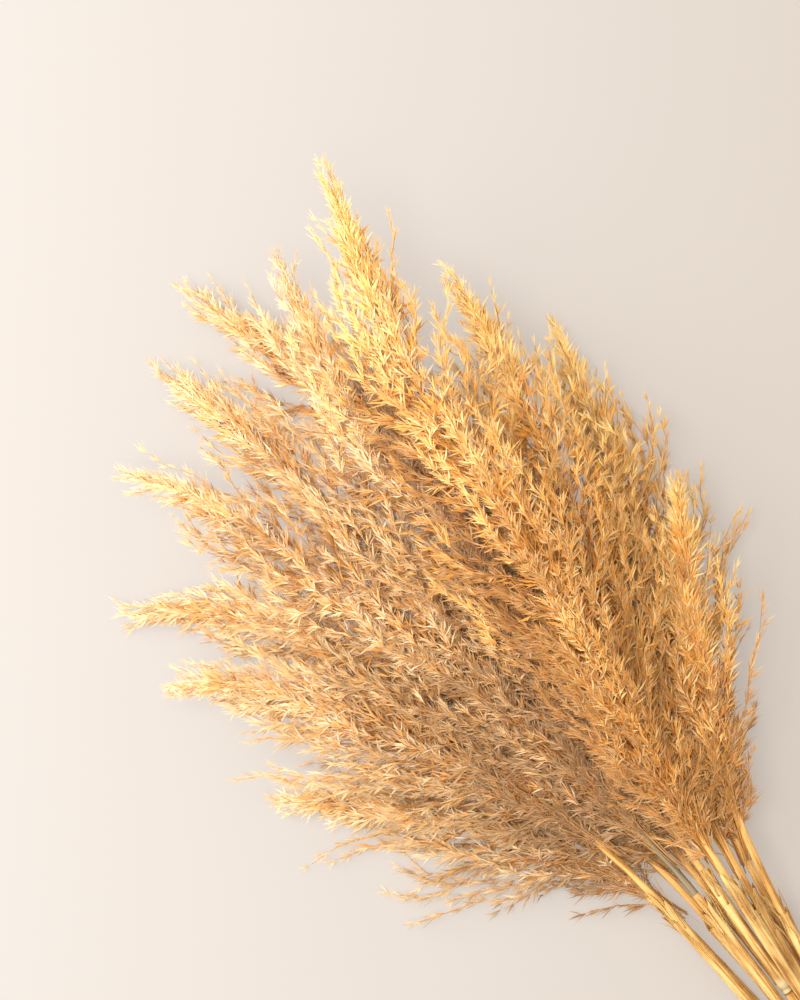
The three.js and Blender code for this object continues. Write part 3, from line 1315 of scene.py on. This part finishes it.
    def _stamp(self) -> StampedMesh:
        """Stamps the stalk, the branches and the spikelets."""
        mesh = StampedMesh()
        stops = np.linspace(0.0, self.line.length * self.stalk_end, self.stalk_rings)
        taper = self.stalk_taper * np.linspace(0, 1, len(stops)) ** self.stalk_power
        widths = self.stalk_width * (1 - taper)
        mesh.bend(twig_tube(len(stops)), self.line.at(stops)[None], widths[None], np.array([0.5]))
        self._twigs(mesh, np.array(self.branches), self.twig_taper, self.twig_tints)
        self._twigs(mesh, self._strands(), self.strand_taper, self.strand_tints)
        columns = (np.concatenate(column) for column in zip(*self.feet))
        place, direction, facing, size, share, along, shown, tone = columns
        side = unit(np.cross(facing, direction))
        axes = np.stack([side, np.cross(direction, side), direction], axis=-1) * size[:, None, None]
        tint = self._tints(place, share, along, shown, tone)
        edge = place + direction * (size * self.kind.outer.length)[:, None]
        inside = abs(edge[:, 1]) < CAD_BOX[1][1] + self.most_beyond
        surface = unit(facing * self.surface_tilt[0] + UP * self.surface_tilt[1])
        which = self.rng.integers(0, self.kind.outer.variants, len(place))
        for spikelets, here in ((self.kind.outer, shown), (self.kind.inner, ~shown)):
            for index, template in enumerate(spikelets.templates(self.rng)):
                chosen = here & inside & (which == index)
                mesh.stamp(template, place[chosen], axes[chosen], tint[chosen], surface[chosen])
        return mesh


# ---- Culms, leaf sheaths and the binding ----


@dataclass
class Sweep:
    """A closed tube that is bent along a line and mapped around and along."""

    rings: int
    sides: int

    def __post_init__(self) -> None:
        """Makes the straight tube and its map."""
        self.shape = tube_shape(self.rings, self.sides)
        self.shape.verts.ensure_lookup_table()
        self.ring = [round(vertex.co.z) for vertex in self.shape.verts]
        self.angle = [math.atan2(vertex.co.y, vertex.co.x) % math.tau for vertex in self.shape.verts]
        self.map = self.shape.loops.layers.uv.new(STRAW_MAP)

    def bend(
        self,
        places: np.ndarray,
        side: np.ndarray,
        up: np.ndarray,
        half_sizes: np.ndarray,
        along: np.ndarray,
        grooves: float = 0.0,
    ) -> None:
        """Moves every ring to its place.

        Args:
            places: the rings' middles, (rings, 3).
            side: the direction beside the line at each ring, (rings, 3).
            up: the direction above the line at each ring, (rings, 3).
            half_sizes: half of each ring's width and height, (rings, 2).
            along: what the map holds along the tube for each ring, in metres.
            grooves: the depth of fine ridges around the tube, as a share of its radius.
        """
        for face in self.shape.faces:
            turns = [self.angle[loop.vert.index] / math.tau for loop in face.loops]
            wraps = max(turns) - min(turns) > 0.5
            for loop, turn in zip(face.loops, turns):
                turn += wraps and turn < 0.5
                loop[self.map].uv = (turn, along[self.ring[loop.vert.index]])
        for vertex, ring, angle in zip(self.shape.verts, self.ring, self.angle):
            width, height = half_sizes[ring] * (1 + grooves * math.sin(angle * self.sides / 2))
            beside = side[ring] * width * math.cos(angle)
            vertex.co = Vector(places[ring] + beside + up[ring] * height * math.sin(angle))


def as_mesh(shape: bmesh.types.BMesh, name: str) -> bpy.types.Mesh:
    """Turns a shape into a mesh, and frees the shape.

    Args:
        shape: the shape.
        name: the mesh's name.

    Returns:
        The mesh.
    """
    mesh = bpy.data.meshes.new(name)
    shape.to_mesh(mesh)
    shape.free()
    return mesh


def mark(shape: bmesh.types.BMesh, joints: list[float]) -> None:
    """Gives a shape's corners their places beside the nearest joint.

    Args:
        shape: the shape.
        joints: what each corner holds: 0.5 at a joint, less before it and more past it.
    """
    layer = shape.verts.layers.float.new(JOINT_LAYER)
    for vertex, value in zip(shape.verts, joints):
        vertex[layer] = value


def finished(shapes: list[bmesh.types.BMesh], name: str, material: bpy.types.Material) -> bpy.types.Object:
    """Joins meshes into one smooth object with a material.

    Args:
        shapes: the meshes, which are freed.
        name: the object's name.
        material: its material.

    Returns:
        The object, linked to the scene.
    """
    whole = bmesh.new()
    for shape in shapes:
        bmesh.ops.recalc_face_normals(shape, faces=shape.faces[:])
        for face in shape.faces:
            face.smooth = True
        part = as_mesh(shape, name + "_part")
        whole.from_mesh(part)
        bpy.data.meshes.remove(part)
    mesh = as_mesh(whole, name)
    mesh.materials.append(material)
    return placed(name, mesh)


@dataclass
class Culm:
    """A reed culm with joints, hollow at its cut end."""

    label: str
    material: bpy.types.Material
    slot: str = "culm"
    sides: int = 18
    ring_gap: float = 0.006
    first_ring: float = 0.002
    last_gap: float = 0.001
    grooves: float = 0.012
    bore: float = 0.62  # a share of the culm's radius
    bore_rings: tuple[float, ...] = (0.012, 0.012 * 0.4, 0.0004)  # from its bottom to the rim
    rim: tuple[float, ...] = (0.9, 0.985)  # shares of the radius over the cut's rounded edge
    rim_depths: tuple[float, ...] = (0.0, 0.0003)
    joint_rise: float = 0.00022
    joint_width: float = 0.0016
    joint_clear: float = 0.0045
    joint_reach: float = 0.005
    joint_fade: float = 0.02
    joint_offsets: tuple[float, ...] = (-0.004, -0.0022, -0.0009, -0.0003, 0.0001, 0.0006, 0.0018, 0.004)
    joint_least: float = 0.0001  # how far a packed joint stands out
    joint_window: int = 8
    joint_apart: float = 0.01

    def build(self) -> bpy.types.Object:
        """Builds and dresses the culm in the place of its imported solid."""
        self.line = stem_line(f"stem_{self.label}")
        joints = self._joints()
        stops = np.arange(self.first_ring, self.line.length - self.last_gap, self.ring_gap)
        stops = [stop for stop in stops if all(abs(stop - joint) > self.joint_clear for joint in joints)]
        stops += [joint + offset for joint in joints for offset in self.joint_offsets]
        stops = np.array(sorted([*stops, self.line.length]))
        distance = np.concatenate([self.bore_rings, self.rim_depths, stops])
        share = np.concatenate([[self.bore] * len(self.bore_rings), self.rim, np.ones(len(stops))])
        radius = np.interp(distance, self.line.along, self._even_radius(joints))
        for joint in joints:
            near = (distance - joint) / self.joint_width
            radius += self.joint_rise * np.exp(-(near**2)) * (share == 1)
        sweep = Sweep(len(distance), self.sides)
        sizes = np.stack([radius * share] * 2, axis=-1)
        _, side, up = self.line.axes(distance)
        sweep.bend(self.line.at(distance), side, up, sizes, distance, self.grooves)
        beside = [min((place - joint for joint in joints), key=abs) for place in distance]
        marks = 0.5 + np.clip(np.array(beside) / self.joint_fade, -0.5, 0.5) * (share > self.bore)
        mark(sweep.shape, marks[sweep.ring])
        piece = finished([sweep.shape], f"culm_{self.label}", self.material)
        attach(piece, BODY)
        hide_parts(f"stem_{self.label}")
        return piece

    def _even_radius(self, joints: list[float]) -> np.ndarray:
        """The culm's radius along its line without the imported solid's joints.

        Args:
            joints: where they are.

        Returns:
            The radius at each of the line's points.
        """
        along, widths = self.line.along, self.line.widths
        away = np.ones(len(along), bool)
        for joint in joints:
            away &= abs(along - joint) > self.joint_reach
        return np.interp(along, along[away], widths[away])

    def _joints(self) -> list[float]:
        """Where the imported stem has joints, as distances along its line."""
        along, widths = self.line.along, self.line.widths
        found = []
        for index in range(self.joint_window, len(along) - self.joint_window):
            around = widths[index - self.joint_window : index + self.joint_window + 1]
            if widths[index] >= around.max() and widths[index] - np.median(around) > self.joint_least:
                if not found or along[index] - found[-1] > self.joint_apart:
                    found.append(float(along[index]))
        return found


@dataclass
class LeafSheath:
    """A papery leaf sheath rolled around its culm, slit along one side and frayed at its mouth."""

    label: str
    material: bpy.types.Material
    rows: int = 24
    columns: int = 26
    half_turn: float = 3.7  # more than half a circle, so that one edge lies over the other
    wall: float = 0.00014
    inset: float = 0.00042
    overlap: float = 0.00028
    mouth_flare: float = 0.0007
    foot_bulge: float = 0.0003
    crease: float = 0.00006
    slant: float = 0.012
    slant_power: float = 2.2
    jag: float = 0.006
    jag_blur: tuple[float, ...] = (0.2, 0.6, 0.2)
    sway: float = 0.003
    joint_fade: float = 0.016
    strips: int = 4
    strip_rings: int = 12
    strip_sides: int = 4
    strip_turn: float = 1.7
    strip_turns: Range = (-0.4, 0.4)
    strip_clear: float = 0.0002
    strip_twists: Range = (-2.0, 2.0)
    strip_lengths: Range = (0.014, 0.034)
    strip_starts: Range = (0.012, 0.03)  # back from the mouth
    strip_lifts: Range = (0.001, 0.005)
    strip_widths: Range = (0.0003, 0.0007)
    strip_wall: float = 0.00008
    strip_sway: float = 0.002

    def build(self, seed: int) -> bpy.types.Object:
        """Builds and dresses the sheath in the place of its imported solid.

        Args:
            seed: what its unevenness comes from.

        Returns:
            The sheath.
        """
        self.rng = np.random.default_rng(seed)
        self.line = stem_line(f"leaf_sheath_{self.label}")
        self.radius = float(np.median(self.line.widths))
        self.slit = self.rng.uniform(0, math.tau)
        shapes = [self._roll()]
        shapes += [self._strip(index) for index in range(self.strips)]
        piece = finished(shapes, f"sheath_{self.label}", self.material)
        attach(piece, BODY)
        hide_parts(f"leaf_sheath_{self.label}")
        return piece

    def _roll(self) -> bmesh.types.BMesh:
        """The rolled sheet, with one edge over the other."""
        rng = self.rng
        shape = bmesh.new()
        bmesh.ops.create_grid(shape, x_segments=self.rows, y_segments=self.columns, size=1.0)
        layer = shape.loops.layers.uv.new(STRAW_MAP)
        waves = rng.uniform(0, math.tau, 3)
        jags = np.convolve(rng.uniform(0, 1, self.columns + 4), self.jag_blur, "same")
        for face in shape.faces:
            for loop in face.loops:
                x, y, _ = loop.vert.co
                loop[layer].uv = ((y + 1) / 2, (x + 1) / 2 * self.line.length)
        marks = []
        for vertex in shape.verts:
            x, y, _ = vertex.co
            share, across = (x + 1) / 2, (y + 1) / 2
            slanted = self.slant * abs(y) ** self.slant_power + self.jag * jags[round(across * self.columns)]
            slanted += self.sway * math.sin(y * 5 + waves[0])
            distance = share * (self.line.length - slanted)
            turn = self.slit + y * self.half_turn
            flare = self.mouth_flare * share**6 * (0.5 + 0.5 * math.sin(3 * turn + waves[1]))
            bulge = self.foot_bulge * math.exp(-share * 12)
            crease = self.crease * math.sin(share * 30 + waves[2] + 2 * turn)
            radius = self.radius - self.inset + (self.overlap * across + flare) + bulge + crease
            _, side, up = self.line.axes(np.array([distance]))
            place = self.line.at(np.array([distance]))[0]
            vertex.co = Vector(place + side[0] * radius * math.cos(turn) + up[0] * radius * math.sin(turn))
            marks.append(0.53 + 0.47 * min(1.0, distance / self.joint_fade))
        mark(shape, marks)
        bmesh.ops.recalc_face_normals(shape, faces=shape.faces[:])
        bmesh.ops.solidify(shape, geom=shape.faces[:], thickness=self.wall)
        return shape

    def _strip(self, index: int) -> bmesh.types.BMesh:
        """A loose strip of dry leaf that rises from the mouth.

        Args:
            index: which strip it is.

        Returns:
            The strip.
        """
        rng = self.rng
        share = np.linspace(0, 1, self.strip_rings)
        length = rng.uniform(*self.strip_lengths)
        start = self.line.length - rng.uniform(*self.strip_starts)
        ahead, side, up = (axis[0] for axis in self.line.axes(np.array([start])))
        turn = self.slit + index * self.strip_turn + rng.uniform(*self.strip_turns)
        outward = side * math.cos(turn) + up * abs(math.sin(turn))
        sideways = np.cross(ahead, outward)
        away = self.radius + self.strip_clear + rng.uniform(*self.strip_lifts) * share**2
        sway = self.strip_sway * np.sin(share * rng.uniform(2, 6)) * share
        places = self.line.at(np.array([start])) + ahead * (length * share)[:, None]
        places = places + outward * away[:, None] + sideways * sway[:, None]
        width = rng.uniform(*self.strip_widths) * np.clip((1 - share) * 2.5, 0.08, 1)
        twist = (rng.uniform(*self.strip_twists) * share)[:, None]
        across = sideways * np.cos(twist) + outward * np.sin(twist)
        above = outward * np.cos(twist) - sideways * np.sin(twist)
        sizes = np.stack([width, np.full(len(share), self.strip_wall)], axis=-1)
        sweep = Sweep(len(share), self.strip_sides)
        sweep.bend(places, across, above, sizes, start + length * share)
        mark(sweep.shape, [1.0] * len(sweep.shape.verts))
        return sweep.shape


@dataclass
class Binding:
    """Turns of two-ply jute twine, wound tight around the stems with their ends tucked in."""

    turns: int = 5
    turn_steps: int = 56
    strand_sides: int = 6
    strand_radius: float = 0.00062
    ply_radius: float = 0.00052
    lay: float = 0.0062
    step: float = 0.0011
    first_turn: float = 0.35
    tucked_end: float = 0.003
    fuzz: int = 200
    fuzz_lengths: Range = (0.0012, 0.0034)
    fuzz_radii: Range = (0.00006, 0.00001)
    fuzz_lean: float = 0.9

    def build(self, seed: int) -> bpy.types.Object:
        """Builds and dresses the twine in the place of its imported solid.

        Args:
            seed: what its unevenness comes from.

        Returns:
            The twine.
        """
        path = self._path(*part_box("binding_twine"))
        shapes = [self._strand(path, ply * math.pi) for ply in range(2)]
        shapes += self._fuzz(path, np.random.default_rng(seed))
        piece = finished(shapes, "twine", TwineFinish().material())
        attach(piece, BODY)
        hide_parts("binding_twine")
        return piece

    @staticmethod
    def _stems_at(x: float) -> np.ndarray:
        """The stems where a plane across X cuts them.

        Args:
            x: where the plane is.

        Returns:
            Their middles' Y and Z, and their radii, (stems, 3).
        """
        packed = (PackedPiece(f"stem_{number:02d}") for number in range(1, STALKS + 1))
        sections = (piece.section(ALONG_BUNCH * x, ALONG_BUNCH) for piece in packed)
        return np.array([(middle[1], middle[2], radius) for middle, radius, _ in filter(None, sections)])

    def _path(self, low: Vector, high: Vector) -> np.ndarray:
        """The twine's middle line: a taut loop around the stems that moves along with every turn.

        Args:
            low: the lowest corner of the binding's box.
            high: its highest corner.

        Returns:
            The line's points, evenly apart, (n, 3).
        """
        reach = self.strand_radius + self.ply_radius
        count = self.turns * self.turn_steps
        turn = np.linspace(self.first_turn, self.first_turn + self.turns * math.tau, count)
        direction = np.stack([np.cos(turn), np.sin(turn)], axis=-1)
        stems = self._stems_at((low.x + high.x) / 2)
        support = direction @ stems[:, :2].T + stems[:, 2] + reach
        farthest = support.argmax(axis=1)
        loop = stems[farthest, :2] + direction * (stems[farthest, 2] + reach)[:, None]
        share = np.linspace(0, 1, count)
        x = low.x + reach + (high.x - low.x - 2 * reach) * share
        path = np.concatenate([x[:, None], loop], axis=1)
        along = distances_along(path)
        return between(np.arange(0, along[-1], self.step), along, path)

    @staticmethod
    def _across(path: np.ndarray) -> tuple[np.ndarray, np.ndarray]:
        """Two directions across the twine's middle line.

        Args:
            path: the line's points, (n, 3).

        Returns:
            The direction along the bunch and the one away from it, at each point.
        """
        ahead = unit(np.gradient(path, axis=0))
        across = np.broadcast_to(ALONG_BUNCH, ahead.shape)
        across = unit(across - ahead * (across * ahead).sum(1, keepdims=True))
        return across, np.cross(ahead, across)

    def _strand(self, path: np.ndarray, phase: float) -> bmesh.types.BMesh:
        """One of the two plies, which wind around each other.

        Args:
            path: the twine's middle line, (n, 3).
            phase: on which side of it the ply starts, in radians.

        Returns:
            The ply.
        """
        across, away = self._across(path)
        along = np.linspace(0, 1, len(path)) * self.step * len(path)
        twist = (along / self.lay * math.tau + phase)[:, None]
        middle = path + (across * np.cos(twist) + away * np.sin(twist)) * self.ply_radius
        ends = np.clip(np.minimum(along, along[-1] - along) / self.tucked_end, 0.15, 1)
        sizes = np.stack([self.strand_radius * ends] * 2, axis=-1)
        sweep = Sweep(len(path), self.strand_sides)
        sweep.bend(middle, across, away, sizes, along)
        return sweep.shape

    def _fuzz(self, path: np.ndarray, rng: np.random.Generator) -> list[bmesh.types.BMesh]:
        """Short loose fibres that stand off the twine.

        Args:
            path: the twine's middle line, (n, 3).
            rng: the source of their unevenness.

        Returns:
            The fibres, none of them through the floor.
        """
        across, away = self._across(path)
        shapes = []
        for index in rng.integers(8, len(path) - 8, self.fuzz):
            angle = rng.uniform(0, math.tau)
            outward = across[index] * math.cos(angle) + away[index] * math.sin(angle)
            ahead = path[index + 1] - path[index]
            direction = Vector(unit(outward + unit(ahead) * rng.normal(0, self.fuzz_lean)))
            length = rng.uniform(*self.fuzz_lengths)
            foot = Vector(path[index] + outward * self.strand_radius * 1.4)
            if foot.z + direction.z * length < FLOOR_CLEARANCE:
                continue
            turn = direction.to_track_quat("Z", "Y").to_matrix().to_4x4()
            matrix = Matrix.Translation(foot) @ turn @ Matrix.Translation((0, 0, length / 2))
            shape = bmesh.new()
            shape.loops.layers.uv.new(STRAW_MAP)
            bmesh.ops.create_cone(
                shape,
                cap_ends=True,
                segments=3,
                radius1=self.fuzz_radii[0],
                radius2=self.fuzz_radii[1],
                depth=length,
                matrix=matrix,
                calc_uvs=True,
            )
            shapes.append(shape)
        return shapes


# ---- Studio ----


@dataclass(frozen=True)
class SoftLight:
    """A square soft light."""

    name: str
    place: tuple[float, float, float]  # right, top and up from the point that it faces
    size: float
    power: float
    colour: Colour


@dataclass
class Studio:
    """The pale floor, the soft lights and the camera, which looks straight down."""

    floor_size: float = 6.0
    camera_height: float = 2.2
    view_width: float = 0.4
    view_level: float = 0.05
    farthest: float = 50.0
    aim_from_tips: float = 0.166
    aim_across: float = -0.018
    growth_turn: float = math.radians(132.0)  # from the view's right to the stalks' direction
    overhead: SoftLight = SoftLight("overhead", (-0.5, 0.0, 2.6), 1.3, 66.0, (1.0, 0.985, 0.965))
    key: SoftLight = SoftLight("key", (-1.5, 0.3, 1.2), 1.2, 30.0, (1.0, 0.97, 0.93))
    world_colour: Colour = (1.0, 0.98, 0.96)
    world_strength: float = 0.8

    def build(self) -> None:
        """Makes the floor, lights, world and camera."""
        turn = self.growth_turn
        self.right = Vector((math.cos(turn), -math.sin(turn), 0))
        self.top = Vector((math.sin(turn), math.cos(turn), 0))
        self.aim = Vector((CAD_BOX[1][0] - self.aim_from_tips, self.aim_across, 0))
        self._floor()
        self._light(self.overhead)
        self._light(self.key)
        self._world()
        self._camera()

    def _floor(self) -> None:
        """A large plane under the bunch."""
        shape = bmesh.new()
        bmesh.ops.create_grid(shape, x_segments=1, y_segments=1, size=self.floor_size)
        floor = placed("floor", as_mesh(shape, "floor"))
        floor.data.materials.append(FloorFinish().material(self.aim, self.right))

    def _light(self, soft: SoftLight) -> None:
        """Hangs a soft light that faces the bunch.

        Args:
            soft: the light.
        """
        light = bpy.data.lights.new(soft.name, "AREA")
        light.size, light.energy, light.color = soft.size, soft.power, soft.colour
        lamp = placed(soft.name, light)
        right, top, height = soft.place
        lamp.location = self.aim + self.right * right + self.top * top + Vector((0, 0, height))
        lamp.rotation_euler = (self.aim - lamp.location).to_track_quat("-Z", "Y").to_euler()

    def _world(self) -> None:
        """Even pale light from all around."""
        world = bpy.data.worlds.new("studio")
        world.use_nodes = True
        background = world.node_tree.nodes["Background"]
        background.inputs["Color"].default_value = (*self.world_colour, 1.0)
        background.inputs["Strength"].default_value = self.world_strength
        bpy.context.scene.world = world

    def _camera(self) -> None:
        """The camera, high above the plumes."""
        data = bpy.data.cameras.new("camera")
        data.sensor_fit = "HORIZONTAL"
        data.lens = data.sensor_width * (self.camera_height - self.view_level) / self.view_width
        data.clip_end = self.farthest
        camera = placed("camera", data)
        place = self.aim + Vector((0, 0, self.camera_height))
        columns = (self.right, self.top, self.right.cross(self.top))
        camera.matrix_world = Matrix.Translation(place) @ Matrix(columns).transposed().to_4x4()
        bpy.context.scene.camera = camera


GOLDEN_FINISH = PlumeFinish(
    "golden_plume",
    glume=((0.43, 0.165, 0.026), (0.77, 0.345, 0.052), (0.97, 0.69, 0.24)),
    hair=((0.40, 0.21, 0.075), (0.90, 0.63, 0.26)),
    twig=((0.48, 0.19, 0.035), (0.80, 0.44, 0.12)),
)
SILKY_FINISH = PlumeFinish(
    "silky_plume",
    glume=((0.31, 0.132, 0.036), (0.75, 0.36, 0.085), (0.92, 0.66, 0.33)),
    hair=((0.29, 0.165, 0.075), (0.88, 0.66, 0.37)),
    twig=((0.44, 0.19, 0.05), (0.80, 0.48, 0.19)),
)
STRAW = StrawFinish("straw_culm", (0.22, 0.08, 0.016), (0.62, 0.30, 0.06), (0.79, 0.48, 0.165))
GREY_TOPPED = replace(STRAW, name="grey_culm", top=((0.11, 0.08, 0.04), (0.30, 0.23, 0.125)), top_from=0.322)
SHEATH = StrawFinish(
    "leaf_sheath",
    (0.25, 0.095, 0.02),
    (0.58, 0.31, 0.075),
    (0.80, 0.56, 0.22),
    stripes=(14.0, 12.0),
    roughness=0.6,
)
PLAIN_SPIKELET = SpikeletKind(3, 0, length=0.0115, width=0.001, glume_fan=34.0)
GOLDEN_PLUME = PlumeKind(GOLDEN_FINISH, SpikeletKind(6, 4), PLAIN_SPIKELET, 0.55, 1.4, 0.006)
SILKY_PLUME = PlumeKind(SILKY_FINISH, SpikeletKind(5, 5), PLAIN_SPIKELET, 0.5, 1.65, 0.014)
GOLDEN_STALKS = (1, 9, 10, 11)
GREY_STALK = 5
HIGHEST_STALK = 1
TWINE_SEED = 90
SHEATH_SEED = 100


def main() -> None:
    """Builds and dresses the whole bunch, and reports each piece."""
    logging.basicConfig(level=logging.INFO, format="%(message)s")
    bpy.context.scene.view_settings.view_transform = "Standard"
    Studio().build()
    straw, grey_topped, sheath = STRAW.material(), GREY_TOPPED.material(), SHEATH.material()
    pieces = []
    for number in range(1, STALKS + 1):
        culm = (grey_topped, "grey_culm") if number == GREY_STALK else (straw, "culm")
        pieces.append(Culm(f"{number:02d}", *culm).build())
        pieces.append(LeafSheath(f"{number:02d}", sheath).build(seed=SHEATH_SEED + number))
    pieces.append(Binding().build(seed=TWINE_SEED))
    highest = plume_line(f"plume_{HIGHEST_STALK:02d}")
    for number in range(1, STALKS + 1):
        kind = GOLDEN_PLUME if number in GOLDEN_STALKS else SILKY_PLUME
        pieces.append(Plume(f"{number:02d}", kind, highest).build(seed=number))
    for piece in pieces:
        LOG.info("%s: %d faces", piece.name, len(piece.data.polygons))


if __name__ == "__main__":
    main()
